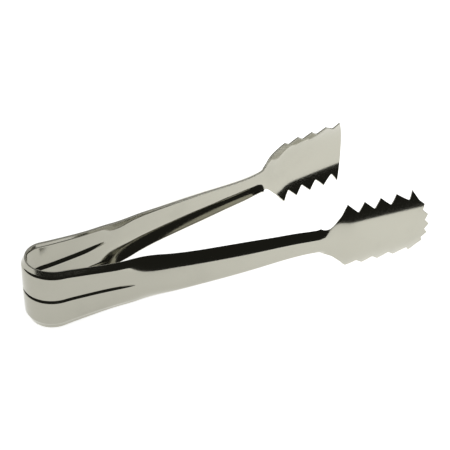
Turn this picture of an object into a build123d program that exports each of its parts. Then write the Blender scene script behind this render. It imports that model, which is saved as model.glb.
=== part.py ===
"""Ice tongs: one strip of pressed stainless steel, lying on its side, in millimetres.

X runs from the spring bend to the jaws, Y is the way the jaws open, and Z is the width of the strip. The origin
is under the middle of the tongs, at the height of the lowest jaw points.
"""

from math import acos, atan, cos, pi, radians, sin, sqrt
import os

from build123d import *

SHEET = 0.8                 # thickness of the strip
LENGTH = 179.4              # from the spring bend to the front of the toothed jaw
LIFT = 16.7                 # height of the middle of the strip above the lowest jaw points
BEND_R = 13.3               # outside radius of the spring bend
HINGE_ANGLE = 45.0          # where each arm takes over from the bend, measured from the crown
SEAM = 0.12                 # clearance between the bend and an arm

MIDDLE_GROOVE = 0.93        # depth of the middle groove
MIDDLE_REACH = 1.1          # how far it reaches into the ribs beside it
MIDDLE_FADE = (33.0, 49.0)  # it dies out between these lengths
SIDE_AT = 0.84              # the two side grooves, as a share of the half width
SIDE_GROOVE = 0.55          # depth of a side groove
SIDE_REACH = 1.3            # how far it reaches into the rib beside it
FLANGE_SLOPE = 0.36         # how steeply the strip falls away between a side groove and its edge
SIDE_FADE = (34.0, 46.0)    # the side grooves die out between these lengths

# The crest of the near arm, seen from above, after the spring bend.
CREST = [(20.0, -13.8), (30.0, -14.9), (48.5, -18.4), (60.0, -21.1), (72.0, -23.1), (84.0, -24.7), (96.0, -26.0),
         (109.0, -27.0), (120.0, -28.2), (129.0, -29.8), (136.0, -31.3), (141.5, -33.4), (150.0, -35.0),
         (184.0, -38.0)]
# Sections of the strip: length, half width, depth of the channel, and how square the channel is.
SECTIONS = [
    (0.0, 15.1, 0.3, 2.4),
    (4.0, 15.1, 0.3, 2.4),
    (12.0, 14.5, 0.3, 2.5),
    (20.0, 13.5, 0.4, 2.6),
    (30.0, 12.3, 0.7, 2.8),
    (36.0, 11.8, 1.2, 2.6),
    (40.0, 11.65, 2.1, 2.4),
    (44.0, 11.6, 3.3, 2.3),
    (48.0, 11.4, 4.2, 2.3),
    (54.0, 10.95, 4.7, 2.7),
    (60.0, 10.35, 4.7, 3.4),
    (72.0, 9.2, 4.9, 4.2),
    (84.0, 8.4, 5.0, 4.4),
    (96.0, 7.6, 4.9, 4.4),
    (109.0, 6.6, 4.4, 4.4),
    (120.0, 6.0, 4.1, 4.2),
    (125.0, 5.9, 3.8, 4.0),
    (129.0, 6.5, 3.4, 3.2),
    (131.0, 9.0, 3.4, 2.6),
    (133.0, 13.5, 4.2, 2.4),
    (136.0, 17.0, 5.2, 2.3),
    (141.0, 17.2, 5.4, 2.2),
    (155.0, 17.2, 5.5, 2.1),
    (182.0, 17.2, 5.8, 2.0),
]
LEG_END = 48.0              # the fluted shoulder ends and the plain arm starts
ARM_END = 129.0             # the arm ends and the jaw starts

TEETH = 5                   # pointed teeth on each side of a jaw
TOOTH_PITCH = 7.84
TOOTH_TIP = 16.7            # half width over the tooth points
TOOTH_ROOT = 13.1           # half width between the teeth
VALLEY_R = 0.6              # rounding between two teeth
FIRST_TOOTH = 141.9         # length of the first tooth point
FRONT_BULGE = 4.7           # how far the plain front edge runs past the last tooth points
FRONT_TEETH = 5             # small teeth on the front of the near jaw
FRONT_PITCH = 5.0
FRONT_TOOTH = 1.9           # height of a small tooth
FRONT_CORNER = (2.3, 12.2)  # where the toothed front starts, past the last tooth point
# The edge of a jaw from the neck to the first tooth point, as (length before the point, half width).
ROOT = [(-12.9, 6.3), (-10.6, 6.7), (-8.0, 8.0), (-5.3, 10.7), (-3.1, 13.0), (-1.7, 14.8), (0.0, TOOTH_TIP)]
# The upper edge of the plain jaw has a kink there instead.
KINKED_ROOT = [(-12.9, 6.3), (-11.4, 6.5), (-10.5, 7.4), (-9.2, 9.8), (-8.3, 11.7), (0.0, TOOTH_TIP)]


def fade(x, start, end):
    """1 before start, 0 after end, with a smooth fall between."""
    u = min(max((x - start) / (end - start), 0.0), 1.0)
    return 1.0 - u * u * (3.0 - 2.0 * u)


def dip(run, reach):
    """A groove's depth at a distance from its bottom: 1 at the bottom, 0 from reach on."""
    return max(1.0 - abs(run) / reach, 0.0)**2


def depth_at(z, size):
    """How far the outer face lies inside the crest, z from the middle of the strip."""
    half, depth, square, middle, side = size
    run = abs(z) - SIDE_AT * half
    beside = SIDE_GROOVE * (dip(run, SIDE_REACH) if run < 0.0 else 1.0) + FLANGE_SLOPE * max(run, 0.0)
    return depth * (abs(z) / half)**square + middle * dip(z, MIDDLE_REACH) + side * beside


def slope_angle(z, size):
    """The angle of the outer face to the middle plane, without its grooves."""
    half, depth, square, _, side = size
    flange = side * FLANGE_SLOPE * min(max((abs(z) / half - SIDE_AT) / (1.0 - SIDE_AT) * 3.0, 0.0), 1.0)
    return atan(depth * square / half * (abs(z) / half)**(square - 1.0) + flange)


def face_points(low, high, count, size, inner):
    """Points (inward, z) on the outer or inner face of a section between two heights."""
    found = []
    for i in range(count + 1):
        z = low + (high - low) * i / count
        inward = depth_at(z, size)
        if inner:
            angle = slope_angle(z, size)
            inward += SHEET * cos(angle)
            z -= SHEET * sin(angle) * (1.0 if z > 0 else -1.0)
        found.append((inward, z))
    return found


def section(place, outward, size):
    """A closed section of the strip at a point of the crest, with the unit vector pointing outwards."""
    def at(point):
        inward, z = point
        return Vector(place.X - outward.X * inward, place.Y - outward.Y * inward, z)

    half = size[0]
    upper = [0.0, MIDDLE_REACH, SIDE_AT * half - SIDE_REACH, SIDE_AT * half, half]
    stops = [-z for z in reversed(upper[1:])] + upper
    edges = []
    for inner in (False, True):
        for low, high in zip(stops, stops[1:]):
            edges.append(Spline(*[at(p) for p in face_points(low, high, 6, size, inner)]))
    for z in (-half, half):
        outer = at(face_points(z, z, 1, size, False)[0])
        inner = at(face_points(z, z, 1, size, True)[0])
        edges.append(Line(outer, inner))
    return Wire(edges)


def crest_spline():
    """The crest of the near arm from the end of the spring bend to the front."""
    start = Vector(BEND_R, -BEND_R, 0)
    return Spline(start, *[Vector(x, y, 0) for x, y in CREST], tangents=[(1, -0.02, 0), (1, -0.09, 0)])


def crest_at(spline, length):
    """The point of the crest at a length along X, and the unit vector pointing outwards there."""
    if length <= BEND_R:
        angle = acos(1.0 - length / BEND_R)
        place = Vector(length, -BEND_R * sin(angle), 0)
        return place, Vector(-cos(angle), -sin(angle), 0)
    low, high = 0.0, 1.0
    for _ in range(40):
        middle = (low + high) / 2
        if spline.position_at(middle).X < length:
            low = middle
        else:
            high = middle
    tangent = spline.tangent_at(low)
    return spline.position_at(low), Vector(tangent.Y, -tangent.X, 0)


def size_at(length):
    """The half width, channel depth and squareness at a length, smooth between the rows, and how deep the middle
    groove and how strong the side grooves are there."""
    i = max(k for k in range(len(SECTIONS) - 1) if SECTIONS[k][0] <= length or k == 0)
    span = SECTIONS[i + 1][0] - SECTIONS[i][0]
    u = (length - SECTIONS[i][0]) / span
    found = []
    for column in (1, 2, 3):
        def rate(k):
            before, after = SECTIONS[max(k - 1, 0)], SECTIONS[min(k + 1, len(SECTIONS) - 1)]
            return (after[column] - before[column]) / (after[0] - before[0]) * span
        low, high = SECTIONS[i][column], SECTIONS[i + 1][column]
        blend = (2 * u**3 - 3 * u**2 + 1) * low + (3 * u**2 - 2 * u**3) * high
        found.append(blend + (u**3 - 2 * u**2 + u) * rate(i) + (u**3 - u**2) * rate(i + 1))
    return (*found, MIDDLE_GROOVE * fade(length, *MIDDLE_FADE), fade(length, *SIDE_FADE))


def stations(spline, start, end, step):
    """Lengths from start to end that are evenly spaced along the crest."""
    fine = [start + (end - start) * i / 400 for i in range(401)]
    places = [crest_at(spline, x)[0] for x in fine]
    along = [0.0]
    for a, b in zip(places, places[1:]):
        along.append(along[-1] + (b - a).length)
    count = round(along[-1] / step)
    wanted = [along[-1] * i / count for i in range(count + 1)]
    found = [start]
    for target in wanted[1:-1]:
        k = max(i for i, a in enumerate(along) if a <= target)
        found.append(fine[k] + (fine[k + 1] - fine[k]) * (target - along[k]) / (along[k + 1] - along[k]))
    return [*found, end]


def strip_between(spline, start, end, step):
    """The strip of the near arm between two lengths."""
    wires = []
    for length in stations(spline, start, end, step):
        place, outward = crest_at(spline, length)
        wires.append(section(place, outward, size_at(length)))
    return Solid.make_loft(wires)


def bow_crown():
    """The part of the spring bend between the two arms."""
    face = Face(section(Vector(0, 0, 0), Vector(-1, 0, 0), size_at(0.0)))
    axis = Axis((BEND_R, 0, 0), (0, 0, 1))
    return revolve(face.rotate(axis, -HINGE_ANGLE), axis, revolution_arc=2 * HINGE_ANGLE)


def front_at(z):
    """How far the plain front edge runs past the last tooth points, at a height z."""
    radius = (TOOTH_TIP**2 + FRONT_BULGE**2) / (2 * FRONT_BULGE)
    return sqrt(radius**2 - z * z) - (radius - FRONT_BULGE)


def jaw_edge(kinked):
    """One side of a jaw from the neck to the last tooth point, in the first quadrant: (curve, teeth)."""
    rows = KINKED_ROOT if kinked else ROOT
    neck = [(FIRST_TOOTH + x, z) for x, z in rows]
    teeth = [neck[-1]]
    for i in range(TEETH - 1):
        tip = FIRST_TOOTH + i * TOOTH_PITCH
        teeth.append((tip + TOOTH_PITCH / 2, TOOTH_ROOT))
        teeth.append((tip + TOOTH_PITCH, TOOTH_TIP))
    return (Polyline(*neck) if kinked else Spline(*neck)), Polyline(*teeth)


def jaw_front(small_teeth):
    """The front edge of a jaw from its upper corner to its lower one, as (length, z)."""
    last = FIRST_TOOTH + (TEETH - 1) * TOOTH_PITCH
    if not small_teeth:
        return ThreePointArc((last, TOOTH_TIP), (last + FRONT_BULGE, 0), (last, -TOOTH_TIP))
    upper = [(last, TOOTH_TIP), (last + FRONT_CORNER[0], FRONT_CORNER[1])]
    for i in range(FRONT_TEETH // 2, 0, -1):
        z = i * FRONT_PITCH
        upper.append((last + front_at(z) + FRONT_TOOTH * 0.8, z))
        z -= FRONT_PITCH / 2
        upper.append((last + front_at(z) - FRONT_TOOTH * 0.2, z))
    middle = (last + FRONT_BULGE + FRONT_TOOTH * 0.8, 0)
    return Polyline(*upper, middle, *[(x, -z) for x, z in reversed(upper)])


def jaw_cutter(small_teeth):
    """A solid whose outline is that of the jaw, running right through it."""
    upper_neck, upper_teeth = jaw_edge(kinked=not small_teeth)
    lower_neck, lower_teeth = jaw_edge(kinked=False)
    start = FIRST_TOOTH + ROOT[0][0]
    half = ROOT[0][1]
    back = Polyline((start, -half), (start - 5.0, -half), (start - 5.0, half), (start, half))
    curves = [
        back,
        upper_neck,
        upper_teeth,
        jaw_front(small_teeth),
        lower_teeth.mirror(Plane.XZ),
        lower_neck.mirror(Plane.XZ),
    ]
    face = make_face(Wire([edge for curve in curves for edge in curve.edges()]))
    valleys = [v for v in face.vertices() if abs(abs(v.Y) - TOOTH_ROOT) < 0.01]
    return extrude(Plane.XZ * fillet(valleys, VALLEY_R), 60)


def place_in_frame(shape):
    """Moves a shape from the working axes, with the crown at zero, to the shared frame."""
    return shape.translate(Vector(-LENGTH / 2, 0, LIFT))


def mirrored(shape):
    return shape.mirror(Plane.XZ)


def main():
    os.makedirs("parts", exist_ok=True)
    spline = crest_spline()
    start = BEND_R * (1.0 - cos(radians(HINGE_ANGLE) + SEAM / BEND_R))
    leg = strip_between(spline, start, LEG_END, 3.2)
    arm = strip_between(spline, LEG_END, ARM_END, 7.0)
    jaw = strip_between(spline, ARM_END, 182.0, 3.0)
    toothed = jaw & jaw_cutter(True)
    plain = jaw & jaw_cutter(False)
    made = {
        "bow_crown": bow_crown(),
        "bow_leg_near": leg,
        "bow_leg_far": mirrored(leg),
        "arm_near": arm,
        "arm_far": mirrored(arm),
        "claw_near": toothed,
        "claw_far": mirrored(plain),
    }
    for name, shape in made.items():
        export_step(place_in_frame(shape), f"parts/{name}.step")


main()
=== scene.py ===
"""Ice tongs in polished stainless steel, laid on their side on a pale floor.

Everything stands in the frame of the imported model, in metres: X runs from the spring bend to the jaws, Y is
the way the jaws open, and Z is the width of the strip. The shape tables are in millimetres, measured from the
crown of the spring bend and from the middle of the strip.
"""

from math import atan, cos, hypot, pi, radians, sin, sqrt

import bmesh
import bpy
from bpy.props import FloatProperty, FloatVectorProperty, PointerProperty
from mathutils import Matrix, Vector


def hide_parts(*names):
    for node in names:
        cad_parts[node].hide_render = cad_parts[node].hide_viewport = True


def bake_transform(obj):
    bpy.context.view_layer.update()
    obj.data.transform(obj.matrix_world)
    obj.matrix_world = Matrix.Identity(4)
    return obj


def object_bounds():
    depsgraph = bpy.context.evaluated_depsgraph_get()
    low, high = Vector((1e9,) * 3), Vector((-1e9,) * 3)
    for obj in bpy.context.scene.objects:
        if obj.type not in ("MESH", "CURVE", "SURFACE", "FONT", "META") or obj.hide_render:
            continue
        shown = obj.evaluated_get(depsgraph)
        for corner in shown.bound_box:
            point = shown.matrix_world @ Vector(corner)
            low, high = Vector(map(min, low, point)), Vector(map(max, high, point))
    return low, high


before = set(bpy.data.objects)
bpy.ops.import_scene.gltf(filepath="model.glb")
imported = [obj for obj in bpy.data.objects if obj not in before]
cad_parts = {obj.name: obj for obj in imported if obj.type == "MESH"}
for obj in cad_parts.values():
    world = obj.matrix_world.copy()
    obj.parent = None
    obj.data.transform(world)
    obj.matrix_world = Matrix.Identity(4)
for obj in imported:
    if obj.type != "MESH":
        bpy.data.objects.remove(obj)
CAD_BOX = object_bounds()

bl_info = {
    "name": "Ice Tongs",
    "version": (1, 0, 0),
    "blender": (4, 5, 0),
    "location": "3D View > Sidebar > Ice Tongs",
    "description": "Models one-piece ice tongs in pressed stainless steel, with floor, light and camera",
    "category": "Object",
}

MM = 0.001
CROWN_X = -0.0897               # the crown of the spring bend, before its grooves are pressed
CROWN = Vector((CROWN_X, 0.0, (CAD_BOX[0].z + CAD_BOX[1].z) / 2))
HALF_JAW = (CAD_BOX[1].z - CAD_BOX[0].z) / 2    # half width over the tooth points

# The crest of the near arm after the bend, as (x, y), and the slopes of its two ends.
CREST = [
    (20.0, -13.8), (30.0, -14.9), (48.5, -18.4), (60.0, -21.1), (72.0, -23.1), (84.0, -24.7), (96.0, -26.0),
    (109.0, -27.0), (120.0, -28.2), (129.0, -29.8), (136.0, -31.3), (141.5, -33.4), (150.0, -35.0),
    (184.0, -38.0),
]
CREST_SLOPES = (-0.02, -0.09)
# Sections of the strip: length, half width, depth of the channel, and how square the channel is.
SECTIONS = [
    (0.0, 15.1, 0.3, 2.4),
    (4.0, 15.1, 0.3, 2.4),
    (12.0, 14.5, 0.3, 2.5),
    (20.0, 13.5, 0.4, 2.6),
    (30.0, 12.3, 0.7, 2.8),
    (36.0, 11.8, 1.2, 2.6),
    (40.0, 11.65, 2.1, 2.4),
    (44.0, 11.6, 3.3, 2.3),
    (48.0, 11.4, 4.2, 2.3),
    (54.0, 10.95, 4.7, 2.7),
    (60.0, 10.35, 4.7, 3.4),
    (72.0, 9.2, 4.9, 4.2),
    (84.0, 8.4, 5.0, 4.4),
    (96.0, 7.6, 4.9, 4.4),
    (109.0, 6.6, 4.4, 4.4),
    (120.0, 6.0, 4.1, 4.2),
    (125.0, 5.9, 3.8, 4.0),
    (129.0, 6.5, 3.4, 3.2),
    (131.0, 9.0, 3.4, 2.6),
    (133.0, 13.5, 4.2, 2.4),
    (136.0, 17.0, 5.2, 2.3),
    (141.0, 17.2, 5.4, 2.2),
    (155.0, 17.2, 5.5, 2.1),
    (182.0, 17.2, 5.8, 2.0),
]
GROOVE_AT = 0.84                # the two side grooves, as a share of the half width
GROOVE_REACH = (1.1, 1.3)       # how far the middle groove and the side grooves reach into the ribs
SIDE_GROOVE = 0.55              # depth of a side groove
FLANGE_SLOPE = 0.36             # how steeply the strip falls away between a side groove and its edge
MIDDLE_FADE = (33.0, 49.0)      # the middle groove dies out between these lengths
SIDE_FADE = (34.0, 46.0)        # and the side grooves between these
NECK = 129.0                    # the arm ends and the jaw starts
FIRST_TOOTH = 141.9             # length of the first tooth point
# The edge of a jaw from the neck to the first tooth point, as (length past the point, half width).
ROOT = [(-12.9, 6.3), (-10.6, 6.7), (-8.0, 8.0), (-5.3, 10.7), (-3.1, 13.0), (-1.7, 14.8), (0.0, 16.7)]
ROOT_SLOPES = (0.1, 1.3)        # of the two ends of that edge
# The upper edge of the far jaw has a kink instead.
KINKED_ROOT = [(-12.9, 6.3), (-11.4, 6.5), (-10.5, 7.4), (-9.2, 9.8), (-8.3, 11.7), (0.0, 16.7)]
TEETH = 5                       # on each side of a jaw
SMALL_TEETH = (1.52, -0.38)     # small front teeth: points and roots, past the plain front edge
SMALL_STEP = 2.5                # across the strip from the point of a small tooth to its root
SMALL_PLACES = 5                # points and roots from the middle of the front to its corner
FRONT_CORNER = (2.3, 12.2)      # the corner of the toothed front: past the last tooth point, and half width

# The rows round the bend, in degrees from its crown: closer together where the two halves meet.
BEND_ANGLES = [0.0, 0.15, 0.5, 1.1, 2.0, 3.0] + [4.0 + 2.0 * i for i in range(43)]
ROWS_PER_TOOTH = 28
ROW_STEPS = (1.2, 0.4)          # from row to row on the arm and at the root of the jaw
JAW_ROWS = 1.2                  # the rows at the root of the jaw start this far past the neck
FRONT_RUN = 15.0                # the rows take on the form of the front edge over this length
WIDEST = 1.1                    # the channel gets no deeper past this share of the half width
# Places of the columns across the strip, as shares of the half width, and how many columns follow each.
COLUMN_STOPS = [(SMALL_STEP * MM / HALF_JAW * i, count) for i, count in enumerate((8, 6, 6, 6, 12))]
COLUMN_STOPS += [(GROOVE_AT, 10), (1.0, 0)]
CURVE_ROUNDS = 60               # rounds in which the slopes of a smooth curve settle
PLACE_ROUNDS = 9                # rounds that find the section of a point of the jaw
UNROLL_STEP = 0.5               # steps along X in which the strip is laid out flat
UNROLL_END = 183.0              # and where they end
SMOOTH_UP_TO = radians(48.0)    # faces that meet at more than this are shaded with an edge between them
RIM_FROM = radians(50.0)        # and edges sharper than this are rims, which are rounded
RIM_SEGMENTS = 2
AT_CROWN = 1e-7                 # points this near to the middle plane, in metres, are where the halves meet

# Patterns of the finishes: how often each repeats in a metre, along the strip, across it and through it.
LINES = (45.0, 5200.0, 1.0)     # polishing lines along the strip
WAVES = (45.0, 110.0, 1.0)      # slow waves from the press
MARKS = (260.0, 4200.0, 1.0)    # hairline marks, turned away from the polishing lines
MARKS_TURN = (0.0, 0.0, radians(14.0))
SMUDGES = (70.0,) * 3
CUT_MARKS = (2600.0,) * 3
SMUDGE_LEVELS = (0.5, 0.72)     # a smudge grows as its noise rises from the first of these to the second
MARK_LEVELS = (0.72, 0.8)       # and so does a hairline mark
CUT_SHADES = (1.5, 1.8)         # the cut edge is lighter than the polished faces by these factors
FLOOR_GRAIN = (300.0,) * 3
GLOW_RUN = (-0.08, 0.1)         # the floor's own light rises between these places along X, in metres
GLOW = (1.03, 1.45)             # from the first of these shares of its colour to the second

FLOOR_SIZE = 8.0
SUN_SPREAD = radians(100.0)     # how much of the sky the soft light fills
LOOK_AT = Vector((0.00807, 0.00376, 0.0167))    # the point that the camera looks at


# ---------------------------------------------------------------------------------------- what can be set

class TongsStripSettings(bpy.types.PropertyGroup):
    """Sizes of the pressed strip."""

    sheet: FloatProperty(
        name="Sheet", description="Thickness of the steel sheet", default=0.0008, min=0.0002, max=0.002,
        precision=5, subtype="DISTANCE", unit="LENGTH")
    bend_radius: FloatProperty(
        name="Bend Radius", description="Outside radius of the spring bend", default=0.0133, min=0.006,
        max=0.02, precision=4, subtype="DISTANCE", unit="LENGTH")
    groove_depth: FloatProperty(
        name="Groove Depth", description="Depth of the groove along the middle of the bend", default=0.000935,
        min=0.0, max=0.002, precision=5, subtype="DISTANCE", unit="LENGTH")
    tooth_pitch: FloatProperty(
        name="Tooth Pitch", description="Distance from one side tooth to the next", default=0.00784,
        min=0.004, max=0.012, precision=5, subtype="DISTANCE", unit="LENGTH")
    tooth_tip: FloatProperty(
        name="Half Jaw Width", description="Half the width of a jaw over its tooth points", default=HALF_JAW,
        min=0.01, max=0.03, precision=4, subtype="DISTANCE", unit="LENGTH")
    tooth_root: FloatProperty(
        name="Half Root Width", description="Half the width of a jaw between its teeth", default=0.0131,
        min=0.008, max=0.03, precision=4, subtype="DISTANCE", unit="LENGTH")
    root_rounding: FloatProperty(
        name="Root Rounding", description="Radius between two teeth", default=0.0006, min=0.0, max=0.002,
        precision=5, subtype="DISTANCE", unit="LENGTH")
    front_bulge: FloatProperty(
        name="Front Bulge", description="How far the front edge runs past the last tooth points",
        default=0.0047, min=0.0, max=0.01, precision=4, subtype="DISTANCE", unit="LENGTH")
    rim_rounding: FloatProperty(
        name="Rim Rounding", description="Radius tumbled onto the cut edges of the sheet", default=0.00014,
        min=0.00002, max=0.0003, precision=5, subtype="DISTANCE", unit="LENGTH")


class TongsFinishSettings(bpy.types.PropertyGroup):
    """Finish of the polished steel."""

    colour: FloatVectorProperty(
        name="Steel", description="Colour of the polished steel", default=(0.41, 0.402, 0.345), min=0.0,
        max=1.0, size=3, subtype="COLOR")
    roughness: FloatProperty(
        name="Roughness", description="Roughness of the polished faces", default=0.11, min=0.0, max=1.0,
        subtype="FACTOR")
    cut_roughness: FloatProperty(
        name="Cut Edge Roughness", description="Roughness of the sheared edges", default=0.3, min=0.0,
        max=1.0, subtype="FACTOR")
    line_depth: FloatProperty(
        name="Polishing Lines", description="Depth of the polishing lines", default=0.0000004, min=0.0,
        max=0.00001, precision=7, subtype="DISTANCE", unit="LENGTH")
    wave_depth: FloatProperty(
        name="Waviness", description="Height of the slow waves that pressing leaves in the faces",
        default=0.00003, min=0.0, max=0.0005, precision=6, subtype="DISTANCE", unit="LENGTH")


class TongsStageSettings(bpy.types.PropertyGroup):
    """Floor, light and camera."""

    floor_colour: FloatVectorProperty(
        name="Floor", description="Colour of the floor", default=(0.9, 0.9, 0.895), min=0.0, max=1.0, size=3,
        subtype="COLOR")
    floor_glow: FloatProperty(
        name="Floor Glow", description="Light that the floor gives off by itself", default=0.85, min=0.0,
        max=2.0)
    top_light: FloatProperty(
        name="Top Light", description="Strength of the soft light from above", default=1.0, min=0.0, max=20.0)
    room: FloatVectorProperty(
        name="Room", description="Colour of the dark room above the floor", default=(0.022, 0.022, 0.019),
        min=0.0, max=1.0, size=3, subtype="COLOR")
    azimuth: FloatProperty(
        name="Azimuth", description="Direction that the camera looks in, seen from above",
        default=radians(27.59), subtype="ANGLE", unit="ROTATION")
    elevation: FloatProperty(
        name="Elevation", description="Angle of the camera above the floor", default=radians(35.9),
        subtype="ANGLE", unit="ROTATION")
    distance: FloatProperty(
        name="Distance", description="Distance from the camera to the point it looks at", default=0.7255,
        min=0.1, max=5.0, precision=4, subtype="DISTANCE", unit="LENGTH")
    lens: FloatProperty(
        name="Lens", description="Focal length of the camera in millimetres", default=129.4, min=10.0,
        max=500.0)


# ---------------------------------------------------------------------------------------- shape of the strip

def fade(x, start, end):
    """1 before start, 0 after end, with a smooth fall between."""
    u = min(max((x - start) / (end - start), 0.0), 1.0)
    return 1.0 - u * u * (3.0 - 2.0 * u)


def dip(run, reach):
    """A groove's depth at a distance from its bottom: 1 at the bottom, 0 from reach on."""
    return max(1.0 - abs(run) / reach, 0.0)**2


def between(rows, x):
    """The height at x on the straight lines through rows of (x, height)."""
    for (x0, y0), (x1, y1) in zip(rows, rows[1:]):
        if x <= x1:
            return y0 + (y1 - y0) * (x - x0) / (x1 - x0)
    return rows[-1][1]


class SmoothCurve:
    """The smoothest curve y(x) through points, with the given slopes at its two ends."""

    def __init__(self, points, first_slope, last_slope):
        self.x = [p[0] for p in points]
        self.y = [p[1] for p in points]
        gaps = [b - a for a, b in zip(self.x, self.x[1:])]
        rises = [(b - a) / gap for a, b, gap in zip(self.y, self.y[1:], gaps)]
        self.slope = [first_slope, *[0.0] * (len(points) - 2), last_slope]
        for _ in range(CURVE_ROUNDS):
            for i in range(1, len(points) - 1):
                before, after = gaps[i - 1], gaps[i]
                pull = 3.0 * (rises[i - 1] / before + rises[i] / after)
                pull -= self.slope[i - 1] / before + self.slope[i + 1] / after
                self.slope[i] = pull / (2.0 / before + 2.0 / after)

    def at(self, x):
        """The height and the slope at x."""
        i = max(k for k in range(len(self.x) - 1) if self.x[k] <= x or k == 0)
        gap = self.x[i + 1] - self.x[i]
        u = (x - self.x[i]) / gap
        y0, y1, m0, m1 = self.y[i], self.y[i + 1], self.slope[i] * gap, self.slope[i + 1] * gap
        height = y0 + u * (m0 + u * (3 * (y1 - y0) - 2 * m0 - m1 + u * (2 * (y0 - y1) + m0 + m1)))
        slope = m0 + u * (2 * (3 * (y1 - y0) - 2 * m0 - m1) + u * 3 * (2 * (y0 - y1) + m0 + m1))
        return height, slope / gap


class HalfStrip:
    """Half of the strip, from the crown of the bend to the front of one jaw, worked out in millimetres."""

    def __init__(self, settings, near):
        self.radius = settings.bend_radius / MM
        self.groove = settings.groove_depth / MM
        self.pitch = settings.tooth_pitch / MM
        self.tip = settings.tooth_tip / MM
        self.valley = settings.tooth_root / MM
        self.rounding = settings.root_rounding / MM
        self.bulge = settings.front_bulge / MM
        self.near = near
        self.crest = SmoothCurve([(self.radius, -self.radius), *CREST], *CREST_SLOPES)
        self.root = SmoothCurve(ROOT, *ROOT_SLOPES)
        self.last_tooth = FIRST_TOOTH + (TEETH - 1) * self.pitch

    def size_at(self, length):
        """The half width, channel depth and squareness at a length, smooth between the rows."""
        i = max(k for k in range(len(SECTIONS) - 1) if SECTIONS[k][0] <= length or k == 0)
        span = SECTIONS[i + 1][0] - SECTIONS[i][0]
        u = (length - SECTIONS[i][0]) / span
        before, low, high = SECTIONS[max(i - 1, 0)], SECTIONS[i], SECTIONS[i + 1]
        after = SECTIONS[min(i + 2, len(SECTIONS) - 1)]
        found = []
        for column in (1, 2, 3):
            start = (high[column] - before[column]) / (high[0] - before[0]) * span
            end = (after[column] - low[column]) / (after[0] - low[0]) * span
            blend = (2 * u**3 - 3 * u**2 + 1) * low[column] + (3 * u**2 - 2 * u**3) * high[column]
            found.append(blend + (u**3 - 2 * u**2 + u) * start + (u**3 - u**2) * end)
        return found

    def inward(self, length, z):
        """How far the outer face lies inside the crest, z from the middle of the strip."""
        half, depth, square = self.size_at(length)
        middle = self.groove * fade(length, *MIDDLE_FADE) * dip(z, GROOVE_REACH[0])
        run = abs(z) - GROOVE_AT * half
        side = SIDE_GROOVE * (dip(run, GROOVE_REACH[1]) if run < 0.0 else 1.0) + FLANGE_SLOPE * max(run, 0.0)
        return depth * min(abs(z) / half, WIDEST)**square + middle + fade(length, *SIDE_FADE) * side

    def bend_place(self, angle):
        """The crest and the outward direction at an angle round the bend, and the length along X."""
        x = self.radius * (1.0 - cos(angle))
        return (x, -self.radius * sin(angle)), (-cos(angle), -sin(angle)), x

    def crest_place(self, length):
        """The crest and the outward direction at a length past the bend."""
        y, slope = self.crest.at(length)
        size = hypot(1.0, slope)
        return (length, y), (slope / size, -1.0 / size)

    def on_section(self, place, outward, length, z):
        """The point of the outer face at a height z of the section at a place on the crest."""
        inward = self.inward(length, z)
        return place[0] - outward[0] * inward, place[1] - outward[1] * inward, z

    def on_jaw(self, x, z):
        """The point of the outer face at a given x and z, and the length of its section."""
        length = x
        for _ in range(PLACE_ROUNDS):
            place, outward = self.crest_place(length)
            length = x + outward[0] * self.inward(length, z)
        place, outward = self.crest_place(length)
        return self.on_section(place, outward, length, z), length

    def jaw_half_width(self, x, upper):
        """The edge of the jaw: the neck, its root, then pointed teeth with rounded roots between them."""
        run = x - FIRST_TOOTH
        if run <= 0.0 and upper and not self.near:
            return between(KINKED_ROOT, run)
        if run <= 0.0:
            return self.root.at(run)[0]
        from_tip = abs(run / self.pitch - round(run / self.pitch)) * self.pitch
        climb = (self.tip - self.valley) / (self.pitch / 2)
        from_valley = self.pitch / 2 - from_tip
        tilt = atan(climb)
        if from_valley < self.rounding * sin(tilt):
            return self.valley + self.rounding / cos(tilt) - sqrt(self.rounding**2 - from_valley**2)
        return self.valley + climb * from_valley

    def front_at(self, z):
        """How far the front edge runs past the last tooth points, at a height z."""
        z = abs(z)
        radius = (self.tip**2 + self.bulge**2) / (2 * self.bulge)

        def plain(height):
            return sqrt(radius**2 - height * height) - (radius - self.bulge)

        if not self.near:
            return plain(min(z, self.tip))
        point, root = SMALL_TEETH
        steps = [SMALL_STEP * i for i in range(SMALL_PLACES)]
        rows = [(step, plain(step) + (root if i % 2 else point)) for i, step in enumerate(steps)]
        return between([*rows, FRONT_CORNER[::-1], (self.tip, 0.0)], z)

    def rows(self):
        """What each row of the strip follows: ("bend", angle), ("arm", length) or ("jaw", x)."""
        found = [("bend", radians(angle)) for angle in BEND_ANGLES]
        count = round((NECK - self.radius) / ROW_STEPS[0])
        found += [("arm", self.radius + (NECK - self.radius) * i / count) for i in range(1, count + 1)]
        start = NECK + JAW_ROWS
        count = round((FIRST_TOOTH - start) / ROW_STEPS[1])
        found += [("jaw", start + (FIRST_TOOTH - start) * i / count) for i in range(count + 1)]
        count = (TEETH - 1) * ROWS_PER_TOOTH
        toothed = self.last_tooth - FIRST_TOOTH
        found += [("jaw", FIRST_TOOTH + toothed * i / count) for i in range(1, count + 1)]
        return found

    def row_points(self, row, shares):
        """The points of one row, each with the length of its section."""
        kind, value = row
        if kind == "jaw":
            edges = [self.jaw_half_width(value, upper) for upper in (False, True)]
            reach = 1.0 - fade(value, self.last_tooth - FRONT_RUN, self.last_tooth)
            found = []
            for share in shares:
                z = share * edges[share > 0.0]
                point, length = self.on_jaw(value + reach * self.front_at(z), z)
                found.append((point, length))
            return found
        if kind == "bend":
            place, outward, length = self.bend_place(value)
        else:
            (place, outward), length = self.crest_place(value), value
        half = self.size_at(length)[0]
        return [(self.on_section(place, outward, length, share * half), length) for share in shares]

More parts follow.
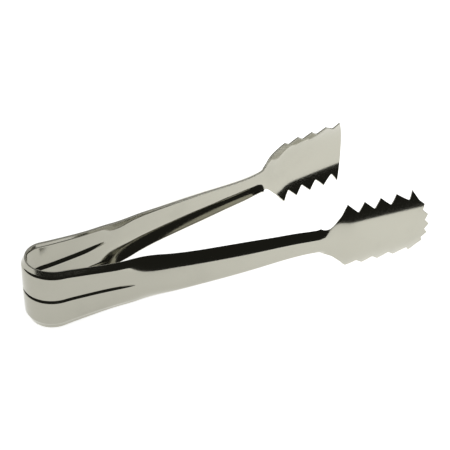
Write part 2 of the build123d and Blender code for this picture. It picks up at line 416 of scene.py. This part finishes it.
    def developed(self):
        """Lengths along X past the bend, and how much strip lies before each of them."""
        along, found = self.radius * pi / 2, []
        x = self.radius
        while x < UNROLL_END:
            found.append((x, along))
            along += UNROLL_STEP * hypot(1.0, self.crest.at(x + UNROLL_STEP / 2)[1])
            x += UNROLL_STEP
        return found


def column_shares():
    """Places of the columns across the strip, as shares of the half width, with one in every groove."""
    upper = []
    for (low, count), (high, _) in zip(COLUMN_STOPS, COLUMN_STOPS[1:]):
        upper += [low + (high - low) * i / count for i in range(count)]
    upper.append(1.0)
    return [-share for share in reversed(upper[1:])] + upper


# ---------------------------------------------------------------------------------------- making the pieces

def deselect_all():
    """Leaves object mode with nothing selected."""
    if bpy.context.object and bpy.context.object.mode != "OBJECT":
        bpy.ops.object.mode_set(mode="OBJECT")
    bpy.ops.object.select_all(action="DESELECT")


def make_half(name, side):
    """One half of the tongs: a flat blank is pressed and bent, thickened, and rounded on its rims."""
    settings = bpy.context.scene.tongs_strip
    strip = HalfStrip(settings, near=side < 0)
    rows, shares = strip.rows(), column_shares()
    deselect_all()
    bpy.ops.mesh.primitive_grid_add(
        x_subdivisions=len(rows) - 1, y_subdivisions=len(shares) - 1, size=1.0, calc_uvs=True,
        location=(0.0, 0.0, 0.0))
    piece = bpy.context.object
    piece.name = piece.data.name = name
    press_blank(piece.data, strip, rows, shares, side)
    if side > 0:
        bpy.ops.object.mode_set(mode="EDIT")
        bpy.ops.mesh.select_all(action="SELECT")
        bpy.ops.mesh.flip_normals()
        bpy.ops.object.mode_set(mode="OBJECT")
    piece.data.materials.append(polished_steel())
    piece.data.materials.append(cut_steel())
    thicken = piece.modifiers.new("sheet", "SOLIDIFY")
    thicken.thickness = settings.sheet
    thicken.offset = -1.0
    thicken.use_even_offset = True
    thicken.use_quality_normals = True
    thicken.material_offset_rim = 1
    bpy.ops.object.modifier_apply(modifier="sheet")
    round_rims(settings.rim_rounding)
    bpy.ops.object.shade_smooth_by_angle(angle=SMOOTH_UP_TO)
    return piece


def press_blank(mesh, strip, rows, shares, side):
    """Gives every point of the blank its place in the pressed and bent strip.

    A press changes the depth and the corners of the channel all along the strip, which no operator does. The
    strip laid out flat becomes the UV map.
    """
    made = [strip.row_points(row, shares) for row in rows]
    developed = strip.developed()
    last_row, last_column = len(rows) - 1, len(shares) - 1
    flat = []
    for vertex in mesh.vertices:
        i = round((vertex.co.x + 0.5) * last_row)
        j = round((vertex.co.y + 0.5) * last_column)
        (x, y, z), length = made[i][j]
        vertex.co = CROWN + Vector((x, -side * y, z)) * MM
        kind, value = rows[i]
        along = strip.radius * value if kind == "bend" else between(developed, length)
        flat.append((along * MM, z * MM))
    for loop, corner in zip(mesh.loops, mesh.uv_layers.active.data):
        corner.uv = flat[loop.vertex_index]
    mesh.uv_layers.active.name = "strip"


def round_rims(radius):
    """Rounds the cut edges of the sheet, apart from those where the two halves meet at the crown."""
    bpy.ops.object.mode_set(mode="EDIT")
    bpy.ops.mesh.select_mode(type="EDGE")
    bpy.ops.mesh.select_all(action="DESELECT")
    edited = bmesh.from_edit_mesh(bpy.context.object.data)
    for edge in edited.edges:
        at_crown = all(abs(vertex.co.y) < AT_CROWN for vertex in edge.verts)
        sharp = len(edge.link_faces) == 2 and edge.calc_face_angle() > RIM_FROM
        edge.select_set(sharp and not at_crown)
    bmesh.update_edit_mesh(bpy.context.object.data)
    bpy.ops.mesh.bevel(offset=radius, segments=RIM_SEGMENTS, affect="EDGES", clamp_overlap=False)
    bpy.ops.object.mode_set(mode="OBJECT")


# ---------------------------------------------------------------------------------------- finishes

class Socket:
    """A socket of a finish, with the sums that are used on it."""

    def __init__(self, finish, socket):
        self.finish = finish
        self.socket = socket

    def _sum(self, operation, first, second):
        return self.finish.node("ShaderNodeMath", {"operation": operation}, {0: first, 1: second})

    def __add__(self, other):
        return self._sum("ADD", self, other)

    __radd__ = __add__

    def __mul__(self, other):
        return self._sum("MULTIPLY", self, other)

    __rmul__ = __mul__

    def __sub__(self, other):
        return self._sum("SUBTRACT", self, other)

    def __rsub__(self, other):
        return self._sum("SUBTRACT", other, self)


class Finish:
    """A material, or the room, whose nodes are written as expressions."""

    def __init__(self, owner):
        owner.use_nodes = True
        self.tree = owner.node_tree
        self.tree.nodes.clear()

    def node(self, kind, settings=None, sockets=None, out=0):
        """Adds a node: its settings are set first, then the values or links of its sockets."""
        made = self.tree.nodes.new(kind)
        for key, value in (settings or {}).items():
            setattr(made, key, value)
        for key, value in (sockets or {}).items():
            if isinstance(value, Socket):
                self.tree.links.new(value.socket, made.inputs[key])
            else:
                made.inputs[key].default_value = value
        return Socket(self, made.outputs[out]) if len(made.outputs) else made

    def mapped(self, scale, uv_map="", turn=(0.0, 0.0, 0.0)):
        """The strip laid out flat, or the place in the object, scaled and turned for a pattern."""
        if uv_map:
            place = self.node("ShaderNodeUVMap", {"uv_map": uv_map})
        else:
            place = self.node("ShaderNodeTexCoord", out=3)
        return self.node("ShaderNodeMapping", None, {"Vector": place, "Rotation": turn, "Scale": scale})

    def noise(self, vector, detail=2.0, roughness=0.5, distortion=0.0):
        sockets = {"Vector": vector, "Scale": 1.0, "Detail": detail, "Roughness": roughness,
                   "Distortion": distortion}
        return self.node("ShaderNodeTexNoise", None, sockets)

    def between(self, value, low, high, out_low=0.0, out_high=1.0):
        """value taken smoothly from low..high to out_low..out_high."""
        sockets = {"Value": value, "From Min": low, "From Max": high, "To Min": out_low, "To Max": out_high}
        return self.node("ShaderNodeMapRange", {"interpolation_type": "SMOOTHSTEP"}, sockets)

    def mix(self, share, first, second):
        """A colour between two."""
        return self.node("ShaderNodeMix", {"data_type": "RGBA"}, {0: share, 6: first, 7: second}, out=2)


def shade(colour, factor):
    """A colour made darker or lighter, with its alpha."""
    return (*[channel * factor for channel in colour], 1.0)


def polished_steel():
    """Polished steel: lines along the strip, slow waves from the press, smudges and hairline marks."""
    if "polished steel" in bpy.data.materials:
        return bpy.data.materials["polished steel"]
    finish = bpy.context.scene.tongs_finish
    material = bpy.data.materials.new("polished steel")
    build = Finish(material)
    lines = build.noise(build.mapped(LINES, "strip"), detail=3.0, roughness=0.6)
    waves = build.noise(build.mapped(WAVES, "strip"), detail=1.0, roughness=0.4)
    smudges = build.between(build.noise(build.mapped(SMUDGES), detail=4.0, roughness=0.6), *SMUDGE_LEVELS)
    marks = build.between(build.noise(build.mapped(MARKS, "strip", MARKS_TURN), detail=1.0), *MARK_LEVELS)
    roughness = finish.roughness + (lines - 0.5) * 0.05 + smudges * 0.05 + marks * 0.12
    colour = build.mix(smudges * 0.5, shade(finish.colour, 1.0), shade(finish.colour, 0.93))
    height = waves * finish.wave_depth + lines * finish.line_depth
    normal = build.node("ShaderNodeBump", None, {"Strength": 1.0, "Distance": 1.0, "Height": height})
    steel = build.node("ShaderNodeBsdfPrincipled", None, {
        "Base Color": colour, "Metallic": 1.0, "Roughness": roughness, "Normal": normal})
    build.node("ShaderNodeOutputMaterial", None, {"Surface": steel})
    return material


def cut_steel():
    """The sheared edge of the sheet: duller, with fine marks across its thickness."""
    if "cut steel edge" in bpy.data.materials:
        return bpy.data.materials["cut steel edge"]
    finish = bpy.context.scene.tongs_finish
    material = bpy.data.materials.new("cut steel edge")
    build = Finish(material)
    marks = build.noise(build.mapped(CUT_MARKS), detail=2.0)
    colour = build.mix(marks, *[shade(finish.colour, factor) for factor in CUT_SHADES])
    roughness = finish.cut_roughness + (marks - 0.5) * 0.2
    normal = build.node("ShaderNodeBump", None, {"Strength": 0.3, "Distance": 0.00002, "Height": marks})
    steel = build.node("ShaderNodeBsdfPrincipled", None, {
        "Base Color": colour, "Metallic": 0.1, "Roughness": roughness, "Normal": normal})
    build.node("ShaderNodeOutputMaterial", None, {"Surface": steel})
    return material


def floor_finish():
    """The pale floor, which glows a little more towards the jaws, and stays white to its far edge."""
    stage = bpy.context.scene.tongs_stage
    material = bpy.data.materials.new("pale floor")
    build = Finish(material)
    grain = build.noise(build.mapped(FLOOR_GRAIN), detail=3.0)
    colour = build.mix(grain, shade(stage.floor_colour, 0.99), shade(stage.floor_colour, 1.0))
    along = build.node("ShaderNodeSeparateXYZ", None, {"Vector": build.mapped((1.0,) * 3)})
    share = build.between(along, *GLOW_RUN)
    glow = build.mix(share, *[shade(stage.floor_colour, factor) for factor in GLOW])
    surface = build.node("ShaderNodeBsdfPrincipled", None, {
        "Base Color": colour, "Roughness": 0.9, "Emission Color": glow,
        "Emission Strength": stage.floor_glow})
    build.node("ShaderNodeOutputMaterial", None, {"Surface": surface})
    return material


# ---------------------------------------------------------------------------------------- operators

class TONGS_OT_near_half(bpy.types.Operator):
    """Makes the near half of the tongs, with small teeth on the front of its jaw."""

    bl_idname = "tongs.near_half"
    bl_label = "Near Half"

    def execute(self, context):
        piece = make_half("tongs_near_half", -1)
        bend_with_arm(piece)
        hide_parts("bow_crown", "bow_leg_near", "arm_near", "claw_near")
        return {"FINISHED"}


class TONGS_OT_far_half(bpy.types.Operator):
    """Makes the far half of the tongs, with a plain front edge on its jaw."""

    bl_idname = "tongs.far_half"
    bl_label = "Far Half"

    def execute(self, context):
        piece = make_half("tongs_far_half", 1)
        bend_with_arm(piece)
        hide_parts("bow_crown", "bow_leg_far", "arm_far", "claw_far")
        return {"FINISHED"}


def bend_with_arm(piece):
    """Bakes the half's placement into its mesh."""
    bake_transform(piece)


class TONGS_OT_stage(bpy.types.Operator):
    """Makes the pale floor, the soft light, the dark room and the camera."""

    bl_idname = "tongs.stage"
    bl_label = "Floor, Light and Camera"

    def execute(self, context):
        stage = context.scene.tongs_stage
        deselect_all()
        bpy.ops.mesh.primitive_plane_add(size=FLOOR_SIZE, location=(0.0, 0.0, CAD_BOX[0].z))
        floor = context.object
        floor.name = floor.data.name = "floor"
        bpy.ops.object.transform_apply(location=True)
        floor.data.materials.append(floor_finish())

        deselect_all()
        bpy.ops.object.light_add(type="SUN", location=(0.0, 0.0, 1.0))
        top = context.object
        top.name = "top_light"
        top.data.energy = stage.top_light
        top.data.angle = SUN_SPREAD
        top.visible_glossy = False

        world = context.scene.world or bpy.data.worlds.new("room")
        context.scene.world = world
        build = Finish(world)
        seen = build.node("ShaderNodeLightPath", out=0)
        colour = build.mix(seen, shade(stage.room, 1.0), shade(stage.floor_colour, 1.0))
        room = build.node("ShaderNodeBackground", None, {"Color": colour, "Strength": 1.0})
        build.node("ShaderNodeOutputWorld", None, {"Surface": room})

        deselect_all()
        back = Vector((-sin(stage.azimuth) * cos(stage.elevation), -cos(stage.azimuth) * cos(stage.elevation),
                       sin(stage.elevation)))
        bpy.ops.object.camera_add(location=LOOK_AT + back * stage.distance)
        camera = context.object
        camera.name = "camera"
        camera.rotation_mode = "QUATERNION"
        camera.rotation_quaternion = (-back).to_track_quat("-Z", "Y")
        camera.data.sensor_width = 36.0
        camera.data.lens = stage.lens
        camera.data.clip_start = 0.05
        camera.data.clip_end = 50.0
        context.scene.camera = camera
        context.scene.view_settings.view_transform = "Standard"
        return {"FINISHED"}


class TONGS_PT_panel(bpy.types.Panel):
    """Lists the steps that make the tongs and their stage."""

    bl_idname = "TONGS_PT_panel"
    bl_label = "Ice Tongs"
    bl_space_type = "VIEW_3D"
    bl_region_type = "UI"
    bl_category = "Ice Tongs"

    def draw(self, context):
        scene = context.scene
        for settings in (scene.tongs_strip, scene.tongs_finish, scene.tongs_stage):
            column = self.layout.column(align=True)
            for name in settings.__annotations__:
                column.prop(settings, name)
        for operator in STEPS:
            self.layout.operator(operator.bl_idname)


STEPS = (TONGS_OT_near_half, TONGS_OT_far_half, TONGS_OT_stage)
GROUPS = {
    "tongs_strip": TongsStripSettings,
    "tongs_finish": TongsFinishSettings,
    "tongs_stage": TongsStageSettings,
}


def register():
    for group in GROUPS.values():
        bpy.utils.register_class(group)
    for name, group in GROUPS.items():
        setattr(bpy.types.Scene, name, PointerProperty(type=group))
    for made in (*STEPS, TONGS_PT_panel):
        bpy.utils.register_class(made)


def unregister():
    for made in (TONGS_PT_panel, *reversed(STEPS)):
        bpy.utils.unregister_class(made)
    for name in GROUPS:
        delattr(bpy.types.Scene, name)
    for group in reversed(GROUPS.values()):
        bpy.utils.unregister_class(group)


def main():
    """Makes the tongs and their stage."""
    register()
    bpy.ops.tongs.near_half()
    bpy.ops.tongs.far_half()
    bpy.ops.tongs.stage()


if __name__ == "__main__":
    main()
